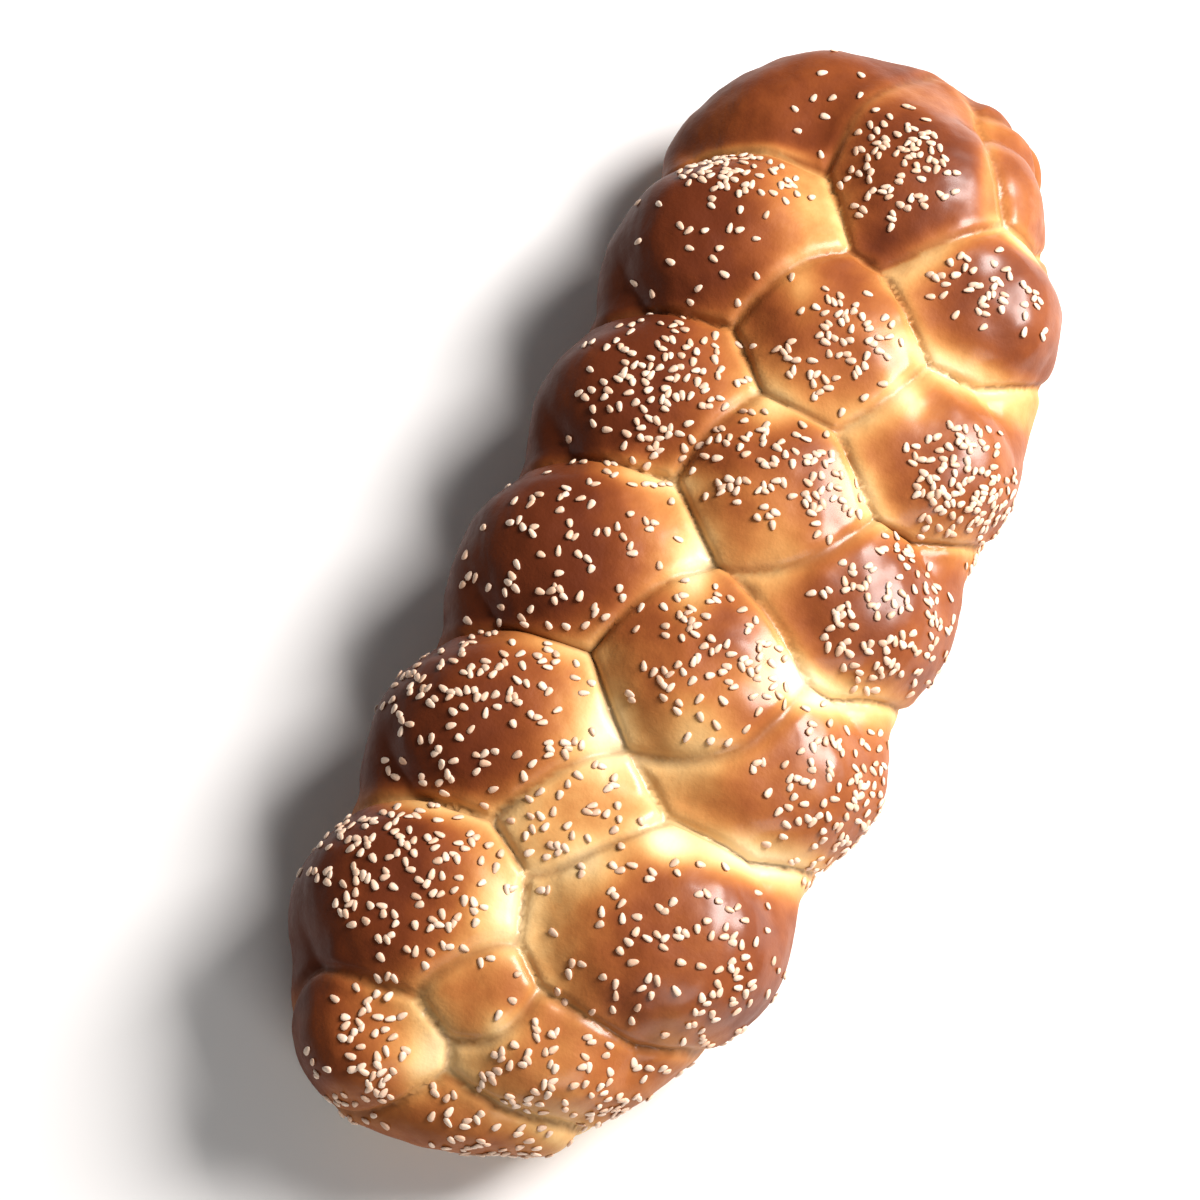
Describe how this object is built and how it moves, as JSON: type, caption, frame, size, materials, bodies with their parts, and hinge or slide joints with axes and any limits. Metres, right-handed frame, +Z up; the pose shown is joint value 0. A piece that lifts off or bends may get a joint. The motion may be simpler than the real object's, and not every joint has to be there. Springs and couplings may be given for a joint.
{
  "type": "braided bread loaf",
  "caption": "Long plaited loaf with swollen overlapping lobes, rounded ends and a flat base, browned on its crests and sprinkled with seeds.",
  "frame": {"origin": "on the surface it rests on, below the middle of the loaf's box", "axes": "+Z up, +Y along the loaf towards its broader end, +X to the right when looking along +Y"},
  "size_m": [0.164, 0.4044, 0.0749],
  "materials": {
    "crust": "egg-washed crust, deep brown on the crests and pale gold in the creases",
    "sesame": "hulled sesame seeds, cream and slightly toasted"
  },
  "bodies": {
    "root": {"loaf": "crust"}
  },
  "joints": []
}
